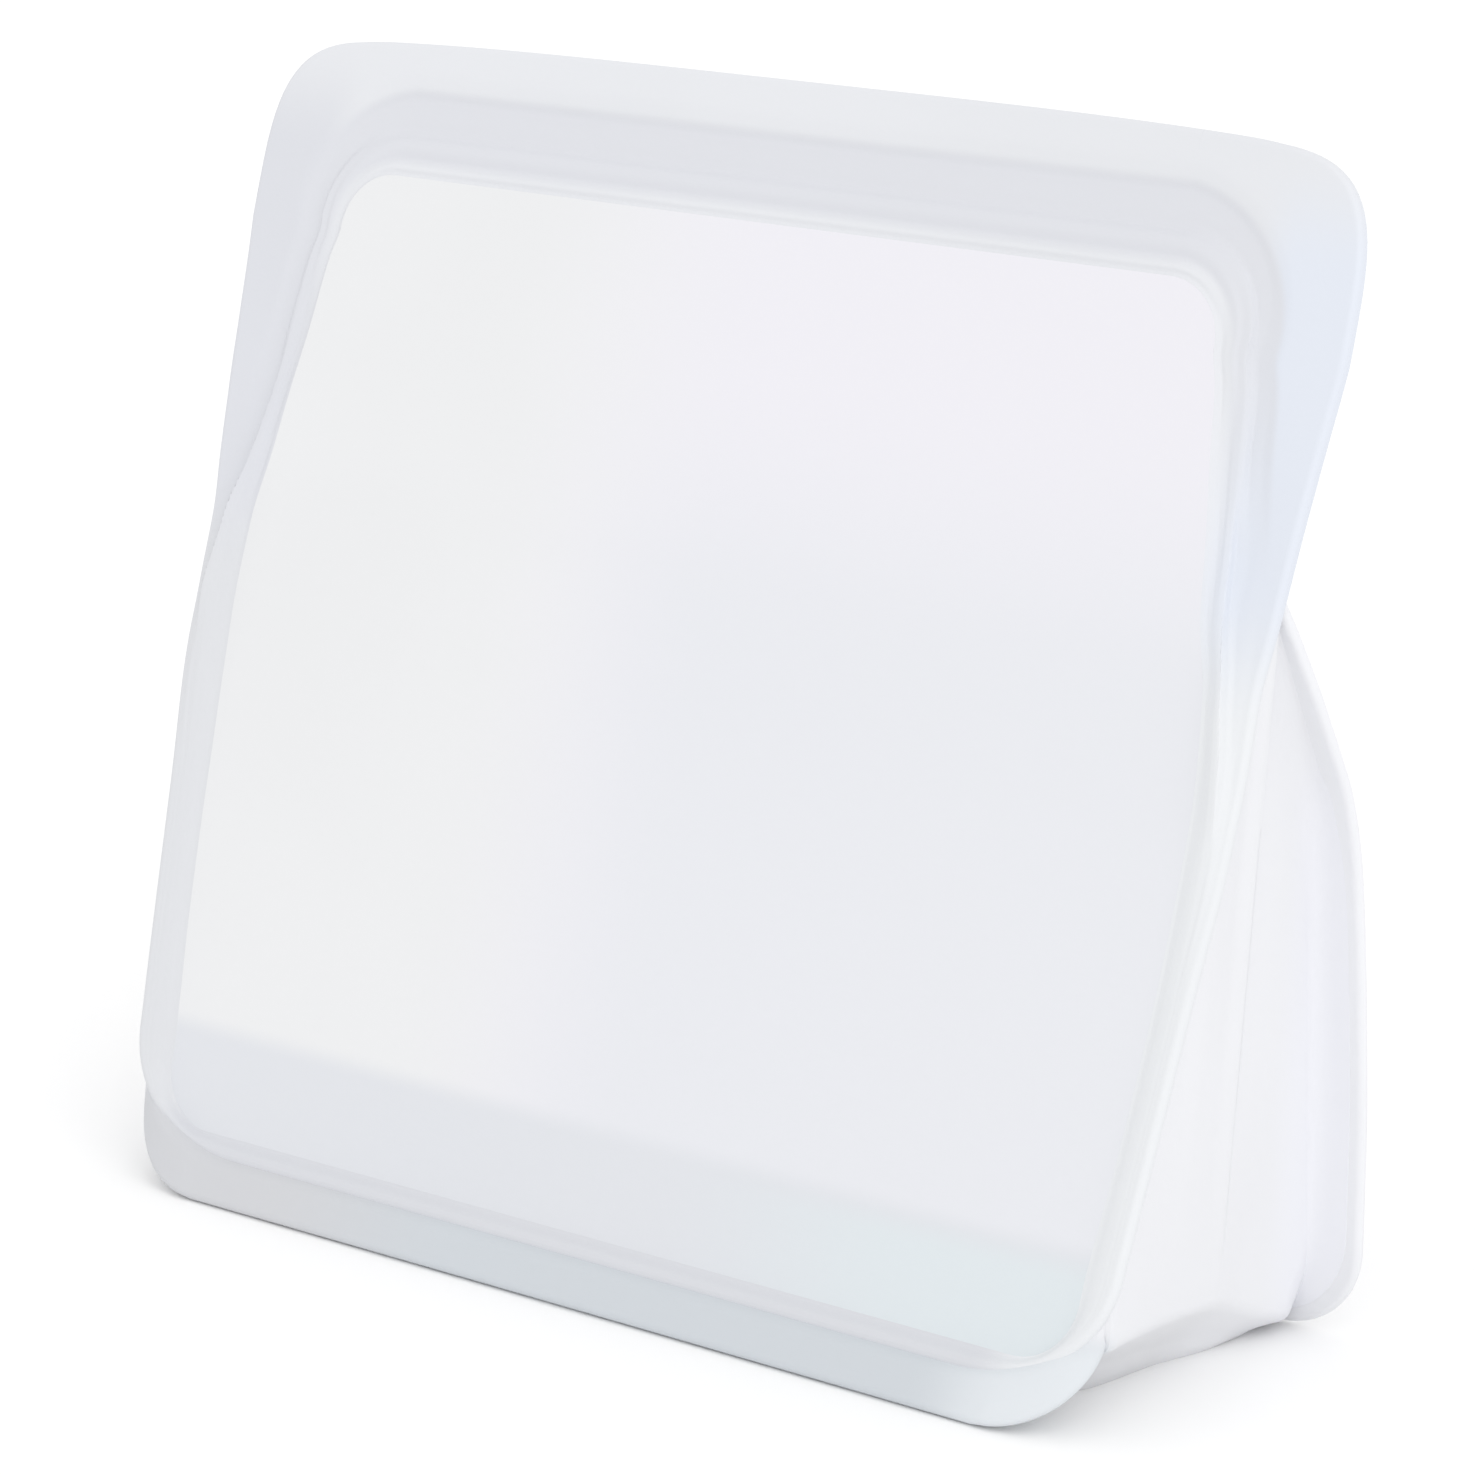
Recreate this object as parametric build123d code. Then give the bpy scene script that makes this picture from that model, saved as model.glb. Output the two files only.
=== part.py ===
"""Reusable silicone storage bag that stands on an opened gusset, closed along its press seal.

Millimetres, +Z up, front towards -Y, origin on the floor at the centre of the standing bag.
The front half leans back in one straight plane.  Points on it are given as x, a height measured
up the slope from the floor line, and a depth measured backwards from that plane.
"""
from build123d import *
from math import cos, radians, sin
import os

# Driving dimensions.
LEAN = 17.2                  # backward lean of the front plane, degrees
PANEL_LEAN = 15.8            # lean of the front panel, which starts recessed and ends flush
FOOT_Y = -30.43              # where the front plane meets the floor
SLOPE_HEIGHT = 182.0         # floor line to the top of the rim, along the slope
WALL = 2.0                   # silicone wall
TOP_HALF = 100.0             # half width across the seal
PINCH_HALF = 97.5            # half width where the back wall leaves the front
BOTTOM_HALF = 91.8           # half width at the bottom of the front flange
FLANGE_CLEAR = 7.0           # flange edge above the floor
PINCH_HEIGHT = 120.0         # slope height of the line where the back wall kicks out
PINCH_DEPTH = 6.5            # depth of that line behind the front plane
REAR_FOOT_Y = 26.5           # lower end of the back leg
LEG_BOW_Y = 23.2             # middle of the bowed back leg
LEG_BOW_Z = 62.0
REAR_HALF = 100.0            # half width of the rear flange
SEAL_FOOT = 161.0            # slope height where the panel ends and the seal zone begins
RIM_FOOT = 175.5             # slope height where the thick rim begins
RIB_HEIGHT = 168.0           # slope height of the press seal
GAP = 0.5                    # clearance between pieces that bend apart

# The front panel's outline, half widths at three slope heights.
PANEL_TOP_HALF = 80.0
PANEL_MID_HALF = 88.8
PANEL_BOTTOM_HALF = 84.0
PANEL_MID = 92.0
PANEL_BOTTOM = 13.0
PANEL_CORNER = 9.0
PANEL_RECESS = 3.2           # depth of the panel's outer face at the floor line

# Flanges and seams.
FLANGE_FACE = -0.2           # the lower front flange curls this far proud of the plane
FLANGE_SPLIT = 94.0          # slope height where the flange turns into the shoulder
SHOULDER_TOP = 160.0
SHOULDER_FACE = -0.6
SHOULDER_WALL = 1.8
SHOULDER_OUTER_TOP = 85.5
SHOULDER_OUTER_FOOT = 94.0
SEAM_FOOT = 110.0
SEAM_INNER = 85.0
SEAM_INNER_FOOT = 87.4
SEAM_WIDENS = 130.0         # slope height above which the seam has its full width
SEAM_FACE = 1.4
SEAM_WALL = 3.0
SEAM_CORNER = 14.5

# Lips of the mouth and the press seal between them.
LIP_HALF = SEAM_INNER - GAP
LIP_FOOT = SEAL_FOOT + 1.5    # leaves room for the lip to bend about its foot
LIP_WALL = 1.5
FRONT_LIP_FACE = 1.2
RIM_PROUD = 0.7
RIB_SIZE = 2.0
RIB_REACH = 1.5
RIDGE_SIZE = 1.6
RIDGE_PROUD = 0.6
SEAL_PLAY = 0.5
BACK_LIP_FACE = FRONT_LIP_FACE + LIP_WALL + GAP
CHANNEL_REACH = 1.9
CHANNEL_CHEEK = 1.4

# Upper back wall.
BACK_WALL_FACE = 5.2
BACK_WALL_HALF = 80.0
BACK_SHOULDER_HALF = 86.0
HINGE_CLEAR = 1.6

# Back leg.
LEG_HALF = 86.0
LEG_TOP_Z = 111.0
REAR_FLANGE_TOP_Z = 104.0
REAR_CORNER = 11.0
REAR_BAND = 7.0

# Gusset: floor tray, its raised ends and the side triangles.
TRAY_HALF = 80.0
TRAY_ROLL = 4.2
TRAY_FRONT_Y = -27.4
TRAY_REAR_Y = 25.6
TRAY_LIP_Z = 5.5
END_REACH = 88.0
END_LIFT = 15.0
SIDE_GUSSET_X = 88.6
SIDE_GUSSET_WALL = 1.4
SIDE_GUSSET_TOP_Z = 104.0
SIDE_GUSSET_FOOT_Z = 17.5

UP_SLOPE_Y = sin(radians(LEAN))
UP_SLOPE_Z = cos(radians(LEAN))


def on_slope(height, depth):
    """Y and Z of a point of the leaning front half."""
    y = FOOT_Y + height * UP_SLOPE_Y + depth * UP_SLOPE_Z
    z = height * UP_SLOPE_Z - depth * UP_SLOPE_Y
    return y, z


def leaning_plane(lean, depth):
    """Plane whose x is the bag's width and whose y runs up the slope; its normal faces forward."""
    normal = (0, -cos(radians(lean)), sin(radians(lean)))
    return Plane(origin=(0, FOOT_Y, 0), x_dir=(1, 0, 0), z_dir=normal).offset(-depth)


def sheet(points, depth, wall, lean=LEAN, corner=0.0, corners=()):
    """Flat sheet with its front face at the given depth; corners lists the points to round."""
    outline = make_face(Polyline(*points, close=True))
    if corner:
        round_these = [v for v in outline.vertices() if _near_any(v, corners)]
        outline = fillet(round_these, radius=corner)
    return extrude(leaning_plane(lean, depth) * outline, amount=-wall)


def _near_any(vertex, places):
    return any(abs(vertex.X - x) + abs(vertex.Y - y) < 0.01 for x, y in places)


def rectangle(half, low, high):
    return [(-half, low), (half, low), (half, high), (-half, high)]


def band(half, low, high, depth, wall):
    """Straight strip across the bag."""
    return sheet(rectangle(half, low, high), depth, wall)


def save(name, shape):
    export_step(shape, f"parts/{name}.step")


def save_pair(name, right):
    save(f"{name}_right", right)
    save(f"{name}_left", mirror(right, about=Plane.YZ))


def front_panel():
    right = [
        (PANEL_BOTTOM_HALF, PANEL_BOTTOM),
        (PANEL_MID_HALF, PANEL_MID),
        (PANEL_TOP_HALF, SEAL_FOOT),
    ]
    left = [(-x, height) for x, height in reversed(right)]
    corners = [right[0], right[2], left[0], left[2]]
    return sheet(right + left, PANEL_RECESS, WALL, PANEL_LEAN, PANEL_CORNER, corners)


def front_flange():
    """Strip that borders the lower half of the front panel on the right."""
    inner_foot = PANEL_BOTTOM_HALF + GAP
    inner_top = PANEL_MID_HALF + GAP
    points = [
        (inner_foot, PANEL_BOTTOM),
        (BOTTOM_HALF, PANEL_BOTTOM),
        (PINCH_HALF - 1.0, FLANGE_SPLIT - GAP),
        (inner_top, FLANGE_SPLIT - GAP),
    ]
    return sheet(points, FLANGE_FACE, WALL)


def front_flange_bottom():
    top = PANEL_BOTTOM - GAP
    points = rectangle(BOTTOM_HALF, FLANGE_CLEAR, top)
    corners = points[:2]
    return sheet(points, FLANGE_FACE, WALL, LEAN, (top - FLANGE_CLEAR) * 0.8, corners)


def front_shoulder():
    """Raised strip between the panel and the side seam, from the seal down to the flange."""
    points = [
        (PANEL_MID_HALF + GAP, FLANGE_SPLIT),
        (SHOULDER_OUTER_FOOT, FLANGE_SPLIT),
        (SHOULDER_OUTER_TOP, SHOULDER_TOP),
        (PANEL_TOP_HALF + GAP, SHOULDER_TOP),
    ]
    return sheet(points, SHOULDER_FACE, SHOULDER_WALL)


def side_seam():
    """Front and back halves fused edge to edge, from the pinch up round the top corner."""
    corner = (TOP_HALF, SLOPE_HEIGHT)
    points = [
        (SEAM_INNER, SEAM_WIDENS),
        (SEAM_INNER_FOOT, SEAM_FOOT),
        (PINCH_HALF, SEAM_FOOT),
        (TOP_HALF, PINCH_HEIGHT + 30.0),
        corner,
        (SEAM_INNER, SLOPE_HEIGHT),
    ]
    return sheet(points, SEAM_FACE, SEAM_WALL, LEAN, SEAM_CORNER, [corner])


def front_lip_wall():
    return band(LIP_HALF, LIP_FOOT, RIM_FOOT, FRONT_LIP_FACE, LIP_WALL)


def front_lip_rim():
    depth = FRONT_LIP_FACE - RIM_PROUD
    return band(LIP_HALF, RIM_FOOT, SLOPE_HEIGHT, depth, LIP_WALL + RIM_PROUD)


def front_lip_ridge():
    low = RIB_HEIGHT - RIDGE_SIZE / 2
    depth = FRONT_LIP_FACE - RIDGE_PROUD
    return band(LIP_HALF, low, low + RIDGE_SIZE, depth, RIDGE_PROUD)


def front_seal_rib():
    """Male rib on the inner face of the front lip."""
    low = RIB_HEIGHT - RIB_SIZE / 2
    return band(LIP_HALF - 4.0, low, low + RIB_SIZE, FRONT_LIP_FACE + LIP_WALL, RIB_REACH)


def back_lip_wall():
    """Back lip, cut through behind the rib, where the channel closes it."""
    wall = band(LIP_HALF, LIP_FOOT, RIM_FOOT, BACK_LIP_FACE, LIP_WALL)
    slot_low = RIB_HEIGHT - RIB_SIZE / 2 - SEAL_PLAY
    slot_size = RIB_SIZE + 2 * SEAL_PLAY
    slot = band(LIP_HALF - 3.5, slot_low, slot_low + slot_size, BACK_LIP_FACE - 1, LIP_WALL + 2)
    return wall - slot


def back_lip_rim():
    return band(LIP_HALF, RIM_FOOT, SLOPE_HEIGHT, BACK_LIP_FACE, LIP_WALL + RIM_PROUD)


def back_seal_channel():
    """Female channel moulded on the outside of the back lip."""
    half_size = RIB_SIZE / 2 + SEAL_PLAY
    face = BACK_LIP_FACE + LIP_WALL
    block = band(
        LIP_HALF - 2.0,
        RIB_HEIGHT - half_size - CHANNEL_CHEEK,
        RIB_HEIGHT + half_size + CHANNEL_CHEEK,
        face,
        CHANNEL_REACH,
    )
    groove = band(
        LIP_HALF - 3.5, RIB_HEIGHT - half_size, RIB_HEIGHT + half_size, face - 1, 1 + CHANNEL_REACH / 2
    )
    return block - groove


def back_wall_upper():
    return band(
        BACK_WALL_HALF, PINCH_HEIGHT + HINGE_CLEAR, SEAL_FOOT - GAP, BACK_WALL_FACE, WALL
    )


def back_shoulder():
    """Narrow strip along the right edge of the upper back wall."""
    low = PINCH_HEIGHT + HINGE_CLEAR
    points = [
        (BACK_WALL_HALF, low),
        (BACK_SHOULDER_HALF, low),
        (BACK_SHOULDER_HALF - 2.0, SEAL_FOOT - GAP),
        (BACK_WALL_HALF, SEAL_FOOT - GAP),
    ]
    return sheet(points, BACK_WALL_FACE, WALL)


def leg_arc():
    """Side view of the bowed back leg, from the pinch down to the rear foot."""
    top_y, _ = on_slope(PINCH_HEIGHT, PINCH_DEPTH)
    return ThreePointArc(
        (top_y + 0.5, LEG_TOP_Z), (LEG_BOW_Y, LEG_BOW_Z), (REAR_FOOT_Y, FLANGE_CLEAR - 2.0)
    )


def leg_piece(points, corner=0.0, corners=()):
    """Part of the bowed leg cut to an outline given in x and z."""
    bow = extrude(Plane.YZ * trace(leg_arc(), line_width=WALL), amount=REAR_HALF, both=True)
    outline = make_face(Polyline(*points, close=True))
    if corner:
        outline = fillet([v for v in outline.vertices() if _near_any(v, corners)], radius=corner)
    facing_back = Plane(origin=(0, 0, 0), x_dir=(1, 0, 0), z_dir=(0, -1, 0))
    return bow & extrude(facing_back * outline, amount=TOP_HALF, both=True)


def back_leg_panel():
    return leg_piece(rectangle(LEG_HALF, FLANGE_CLEAR + REAR_BAND, LEG_TOP_Z))


def back_flange():
    foot = (REAR_HALF, FLANGE_CLEAR)
    points = [
        (LEG_HALF, FLANGE_CLEAR),
        foot,
        (REAR_HALF, LEG_BOW_Z),
        (PINCH_HALF, REAR_FLANGE_TOP_Z),
        (LEG_HALF, REAR_FLANGE_TOP_Z),
    ]
    return leg_piece(points, REAR_CORNER, [foot])


def back_flange_bottom():
    return leg_piece(rectangle(LEG_HALF, FLANGE_CLEAR, FLANGE_CLEAR + REAR_BAND))


def base_gusset():
    """Floor tray whose front and rear edges roll up to the flanges."""
    mid = WALL / 2
    path = FilletPolyline(
        (TRAY_FRONT_Y, TRAY_LIP_Z),
        (TRAY_FRONT_Y, mid),
        (TRAY_REAR_Y, mid),
        (TRAY_REAR_Y, TRAY_LIP_Z),
        radius=TRAY_ROLL,
    )
    return extrude(Plane.YZ * trace(path, line_width=WALL), amount=TRAY_HALF, both=True)


def base_end():
    """End of the tray, which arches up off the floor to the side triangle."""
    mid = WALL / 2
    middle = ((TRAY_HALF + END_REACH) / 2 + 1.2, END_LIFT * 0.36)
    arc = ThreePointArc((TRAY_HALF + GAP, mid + 0.2), middle, (END_REACH, END_LIFT))
    facing_front = Plane(origin=(0, 0, 0), x_dir=(1, 0, 0), z_dir=(0, -1, 0))
    strip = extrude(facing_front * trace(arc, line_width=WALL * 0.8), amount=TOP_HALF, both=True)
    reach = Box(40, TRAY_REAR_Y - TRAY_FRONT_Y - 2 * TRAY_ROLL, 60)
    middle_y = (TRAY_REAR_Y + TRAY_FRONT_Y) / 2
    return strip & Pos(TRAY_HALF + 10, middle_y, 10) * reach


def side_gusset():
    """Side triangle between the front flange and the rear flange."""
    top_y, _ = on_slope(PINCH_HEIGHT - 8.0, PINCH_DEPTH)
    front_foot_y, front_foot_z = on_slope(SIDE_GUSSET_FOOT_Z, 4.0)
    points = [
        (front_foot_y + 1.0, front_foot_z),
        (REAR_FOOT_Y - 3.0, SIDE_GUSSET_FOOT_Z),
        (LEG_BOW_Y - 3.0, LEG_BOW_Z),
        (top_y + 1.2, SIDE_GUSSET_TOP_Z),
        (top_y - 2.2, SIDE_GUSSET_TOP_Z),
    ]
    face = Plane.YZ * make_face(Polyline(*points, close=True))
    return Pos(SIDE_GUSSET_X, 0, 0) * extrude(face, amount=SIDE_GUSSET_WALL)


def main():
    os.makedirs("parts", exist_ok=True)
    save("front_panel", front_panel())
    save_pair("front_flange", front_flange())
    save("front_flange_bottom", front_flange_bottom())
    save_pair("front_shoulder", front_shoulder())
    save_pair("side_seam", side_seam())
    save("front_lip_wall", front_lip_wall())
    save("front_lip_rim", front_lip_rim())
    save("front_lip_ridge", front_lip_ridge())
    save("front_seal_rib", front_seal_rib())
    save("back_lip_wall", back_lip_wall())
    save("back_lip_rim", back_lip_rim())
    save("back_seal_channel", back_seal_channel())
    save("back_wall_upper", back_wall_upper())
    save_pair("back_shoulder", back_shoulder())
    save("back_leg_panel", back_leg_panel())
    save_pair("back_flange", back_flange())
    save("back_flange_bottom", back_flange_bottom())
    save("base_gusset", base_gusset())
    save_pair("base_end", base_end())
    save_pair("side_gusset", side_gusset())


main()
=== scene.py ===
"""Looks of the silicone stand-up bag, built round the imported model: its skins, materials, floor,
light and camera.

Sizes are in millimetres.  Most points are given on the front half's leaning plane, as x, a height
measured up the slope from the floor line, and a depth measured backwards from that plane.
"""
from math import cos, hypot, pi, radians, sin, sqrt

import bmesh
import bpy
import numpy as np
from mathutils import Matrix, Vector


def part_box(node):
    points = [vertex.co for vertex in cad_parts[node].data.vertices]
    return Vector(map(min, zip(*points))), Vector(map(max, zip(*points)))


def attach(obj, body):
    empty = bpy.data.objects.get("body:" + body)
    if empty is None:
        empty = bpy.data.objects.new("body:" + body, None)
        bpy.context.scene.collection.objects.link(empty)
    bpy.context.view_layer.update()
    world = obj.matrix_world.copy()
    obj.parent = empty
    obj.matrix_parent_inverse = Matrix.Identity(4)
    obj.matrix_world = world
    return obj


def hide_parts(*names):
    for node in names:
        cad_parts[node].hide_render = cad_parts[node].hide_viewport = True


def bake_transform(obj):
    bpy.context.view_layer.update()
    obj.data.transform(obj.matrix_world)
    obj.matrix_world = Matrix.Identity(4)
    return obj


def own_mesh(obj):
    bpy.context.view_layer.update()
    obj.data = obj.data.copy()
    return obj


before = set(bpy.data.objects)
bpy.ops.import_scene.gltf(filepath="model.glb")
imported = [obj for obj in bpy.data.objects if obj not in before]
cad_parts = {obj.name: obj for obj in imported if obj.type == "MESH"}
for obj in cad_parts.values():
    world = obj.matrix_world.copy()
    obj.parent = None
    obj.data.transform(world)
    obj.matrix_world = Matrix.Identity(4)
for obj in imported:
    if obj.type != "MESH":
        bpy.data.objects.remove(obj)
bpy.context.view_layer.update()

MM = 0.001
LEAN = radians(17.2)          # backward lean of the front plane
FLANGE_CLEAR = 7.0            # lowest edge of the CAD's front flange, up the slope
FLANGE_FACE = -0.2            # depth of that flange's front face
FOOT_Y = (
    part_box("front_flange_bottom")[0].y / MM - FLANGE_CLEAR * sin(LEAN) - FLANGE_FACE * cos(LEAN)
)
TOP_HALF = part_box("side_seam_right")[1].x / MM
SLOPE_HEIGHT = 182.5          # floor line to the top of the rim
SEAL_FOOT = 161.0             # where the panel ends and the seal zone begins
SEAM_SQUARENESS = 4.0         # how square the top corners are: 2 would be an ellipse
TOP_SAG = 1.2                 # fall of the top edge towards its corners
PANEL_CORNER = 9.0            # radius of the panel's top corners
SEAM_INSET = 16.0             # from the sides, where the top edge has fallen fully
LIP_HALF = TOP_HALF - 29.0    # half length of the lips, between the fused corners
PANEL_FOOT = 10.0             # slope height of the panel's bottom crease
EDGE_FOOT = 5.1               # slope height of the border's bottom edge
FOOT_PIVOT = (76.0, 19.5)     # centre of the panel's bottom corner
FOOT_CORNER = (24.0, 20.0)    # reach of the border's bottom corners, sideways and up
EDGE_RADIUS = 0.9             # rounding of every free edge
PINCH = 120.0                 # slope height where the back wall kicks out into the leg
LIP_MIDDLE = 2.55             # depth of the plane where the two lips meet
BACK_FACE = 4.2               # depth of the fused border's rear face beside the back wall
SEAM_WALL = 2.4               # thickness of that border at its outer edge
WELD = 0.0005                 # vertices nearer than this are one
SHARP_ANGLE = radians(40)     # edges that bend more than this are shaded as sharp

# Half widths at slope heights: the outer edge, and the crease between panel and border.
OUTER_KEYS = [
    (0, 89.5), (21, 91.8), (42, 93.5), (63, 95.0), (84, 96.6), (94, 96.7),
    (105, 96.5), (115, 97.3), (126, 98.0), (140, 99.0), (152, TOP_HALF),
]
CREASE_KEYS = [
    (10, 85.5), (19.5, 85.5), (30, 86.3), (42, 87.4), (63, 88.6), (88, 89.2), (105, 88.0),
    (115, 85.8), (126, 84.3), (136, 82.7), (147, 81.2), (152, 80.0), (161, 80.0),
]
# Depth of the front panel along its crease.
CREASE_DEPTH_KEYS = [
    (10, 1.3), (62, 1.2), (84, 0.8), (94, 0.3), (105, -0.3),
    (115, -0.9), (136, -0.8), (152, -0.8), (161, -0.8),
]


def curve(keys, at):
    """Smooth curve through (place, value) keys that never overshoots them; a value may be an array."""
    place = np.array([key[0] for key in keys], float)
    value = np.array([key[1] for key in keys], float)
    at = np.clip(np.atleast_1d(np.asarray(at, float)), place[0], place[-1])
    wide = (-1,) + (1,) * (value.ndim - 1)
    slope = np.diff(value, axis=0) / np.diff(place).reshape(wide)
    tangent = np.zeros_like(value)
    tangent[0], tangent[-1] = slope[0], slope[-1]
    same_way = slope[:-1] * slope[1:] > 0
    total = np.where(same_way, slope[:-1] + slope[1:], 1)
    tangent[1:-1] = np.where(same_way, 2 * slope[:-1] * slope[1:] / total, 0)
    i = np.clip(np.searchsorted(place, at, side="right") - 1, 0, len(place) - 2)
    step = (place[i + 1] - place[i]).reshape(wide)
    s = (at - place[i]).reshape(wide) / step
    start = (2 * s**3 - 3 * s**2 + 1) * value[i] + (s**3 - 2 * s**2 + s) * step * tangent[i]
    end = (3 * s**2 - 2 * s**3) * value[i + 1] + (s**3 - s**2) * step * tangent[i + 1]
    return start + end


def ease(value):
    """0 to 1 with level ends."""
    s = np.clip(value, 0.0, 1.0)
    return s * s * (3 - 2 * s)


def on_slope(x, height, depth):
    """Points of the leaning front half, as an array whose last axis is x, y, z."""
    x, height, depth = np.broadcast_arrays(
        np.asarray(x, float), np.asarray(height, float), np.asarray(depth, float)
    )
    y = FOOT_Y + height * sin(LEAN) + depth * cos(LEAN)
    z = height * cos(LEAN) - depth * sin(LEAN)
    return np.stack([x, y, z], axis=-1)


def crease_half(height):
    """Half width of the front panel, its round corners included."""
    height = np.atleast_1d(np.asarray(height, float))
    half = curve(CREASE_KEYS, height)
    pivot = SEAL_FOOT - PANEL_CORNER
    up = np.clip(height - pivot, 0, PANEL_CORNER)
    half = np.where(height > pivot, LIP_HALF + np.sqrt(PANEL_CORNER**2 - up**2), half)
    radius = FOOT_PIVOT[1] - PANEL_FOOT
    down = np.clip(FOOT_PIVOT[1] - height, 0, radius)
    return np.where(height < FOOT_PIVOT[1], FOOT_PIVOT[0] + np.sqrt(radius**2 - down**2), half)


# Meshes.


def make_piece(name, points, faces, material, thick=None):
    """New object from points in millimetres, welded, with its normals outwards.

    thick, if given, is how much each point belongs to the thicker, darker bands of silicone.
    """
    mesh = bpy.data.meshes.new(name)
    mesh.from_pydata((np.asarray(points) * MM).tolist(), [], [list(map(int, f)) for f in faces])
    bm = bmesh.new()
    bm.from_mesh(mesh)
    if thick is not None:
        layer = bm.verts.layers.float.new("thick")
        for vertex, share in zip(bm.verts, thick):
            vertex[layer] = share
    bmesh.ops.remove_doubles(bm, verts=bm.verts, dist=WELD * MM)
    bmesh.ops.dissolve_degenerate(bm, edges=bm.edges, dist=WELD * MM)
    bmesh.ops.recalc_face_normals(bm, faces=bm.faces)
    if bm.calc_volume(signed=True) < 0:
        bmesh.ops.reverse_faces(bm, faces=bm.faces)
    bm.to_mesh(mesh)
    bm.free()
    mesh.shade_smooth()
    mesh.set_sharp_from_angle(angle=SHARP_ANGLE)
    mesh.materials.append(material)
    piece = bpy.data.objects.new(name, mesh)
    bpy.context.scene.collection.objects.link(piece)
    return piece


def grid_faces(rows, columns, wrap_rows=False, wrap_columns=False):
    """Four-cornered faces of a grid of points, numbered row by row; a wrapped axis is closed."""
    r = np.arange(rows if wrap_rows else rows - 1)[:, None]
    c = np.arange(columns if wrap_columns else columns - 1)[None, :]
    r_next, c_next = (r + 1) % rows, (c + 1) % columns
    corners = [r * columns + c, r * columns + c_next, r_next * columns + c_next, r_next * columns + c]
    return np.stack([np.broadcast_to(k, (r.size, c.size)) for k in corners], axis=-1).reshape(-1, 4)


def sweep(name, loops, material, thick=None, paired=False):
    """Closed tube through cross-sections, which are closed loops of points.

    Its ends are flat, or, if paired, strips between the first and second half of the loop.
    """
    loops = np.asarray(loops, float)
    count, around = loops.shape[:2]
    faces = grid_faces(count, around, wrap_columns=True).tolist()
    for end in (0, (count - 1) * around):
        if paired:
            for i in range(around // 2 - 1):
                faces.append([end + i, end + i + 1, end + around - 2 - i, end + around - 1 - i])
        else:
            faces.append(list(range(end, end + around)))
    return make_piece(name, loops.reshape(-1, 3), faces, material, thick)


def surface_normals(grid, wrap=False):
    """Unit normals of a grid of points; with wrap its first axis is closed."""
    if wrap:
        along = np.roll(grid, -1, axis=0) - np.roll(grid, 1, axis=0)
    else:
        along = np.gradient(grid, axis=0)
    across = np.gradient(grid, axis=1)
    normal = np.cross(along, across)
    return normal / np.maximum(np.linalg.norm(normal, axis=-1, keepdims=True), 1e-9)


def shell(name, middle, over, under, material, wrap=False):
    """Closed sheet about a middle surface: over and under are how far its two faces stand off it.

    The faces meet where both are 0, along every free edge.
    """
    normal = surface_normals(middle, wrap)
    top = middle + normal * over[..., None]
    bottom = middle - normal * under[..., None]
    rows, columns = middle.shape[:2]
    faces = grid_faces(rows, columns, wrap_rows=wrap)
    points = np.concatenate([top.reshape(-1, 3), bottom.reshape(-1, 3)])
    return make_piece(name, points, np.concatenate([faces, faces[:, ::-1] + rows * columns]), material)


def slab(name, front, back, material):
    """Closed sheet between two grids of points, with square edges."""
    rows, columns = front.shape[:2]
    face = grid_faces(rows, columns)
    count = rows * columns
    index = np.arange(count).reshape(rows, columns)
    ring = np.concatenate([index[0], index[1:, -1], index[-1, -2::-1], index[-2:0:-1, 0]])
    ahead = np.roll(ring, -1)
    side = np.stack([ring, ahead, ahead + count, ring + count], axis=-1)
    points = np.concatenate([front.reshape(-1, 3), back.reshape(-1, 3)])
    return make_piece(name, points, np.concatenate([face, face[:, ::-1] + count, side]), material)


def rim(distance, radius=EDGE_RADIUS):
    """Share of the full thickness that far inside a rounded edge."""
    inside = np.clip(distance, 0, radius) / radius
    return np.sqrt(1 - (1 - inside) ** 2)


def spread(count, low, high):
    """Values from low to high, closer together at both ends."""
    return low + (high - low) * (1 - np.cos(np.linspace(0, pi, count))) / 2


# The border, swept round the front panel from one end of the mouth to the other.

# Section of the border at places along it, as (distance out from the crease, depth) from the crease
# to the outer edge.  None stands for the border's full width.
TOP_SECTION = [
    (0, -0.8), (0.6, -0.4), (1.3, -0.65), (3.0, 0.3), (4.4, 0.15), (5.6, 0.35),
    (7.0, 1.2), (8.2, 1.3), (12.2, 1.3), (14.2, 0.6), (16.5, 0.3), (None, 0.5),
]
SHOULDER_SECTION = [
    (0, -0.8), (0.5, -0.5), (0.9, -0.2), (1.8, -0.35), (2.8, -0.4), (3.6, -0.1),
    (4.7, -0.1), (5.4, 0.6), (6.4, 0.9), (8.2, 0.7), (10.5, 0.35), (None, 0.4),
]
UPPER_SECTION = [
    (0, -0.8), (0.5, -0.4), (1.0, -0.1), (1.6, 0.1), (2.4, 0.2), (3.2, 0.0),
    (4.2, -0.1), (5.0, 0.2), (5.6, 0.9), (7.2, 0.9), (9.5, 0.4), (None, -0.1),
]
OVER_PINCH_SECTION = [
    (0, -0.85), (0.5, -0.6), (1.0, -0.3), (1.6, 0.0), (2.3, -0.1), (3.0, -0.4),
    (3.8, -0.4), (4.3, 0.5), (6.0, 0.7), (8.0, 0.4), (10.0, 0.0), (None, -0.4),
]
PINCH_SECTION = [
    (0, -0.9), (0.5, -0.8), (1.0, -0.6), (1.6, -0.7), (2.4, -1.1), (3.2, -1.4),
    (3.9, -1.5), (4.3, -0.3), (5.5, 0.1), (7.0, 0.0), (8.5, -0.1), (None, -0.4),
]
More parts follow.
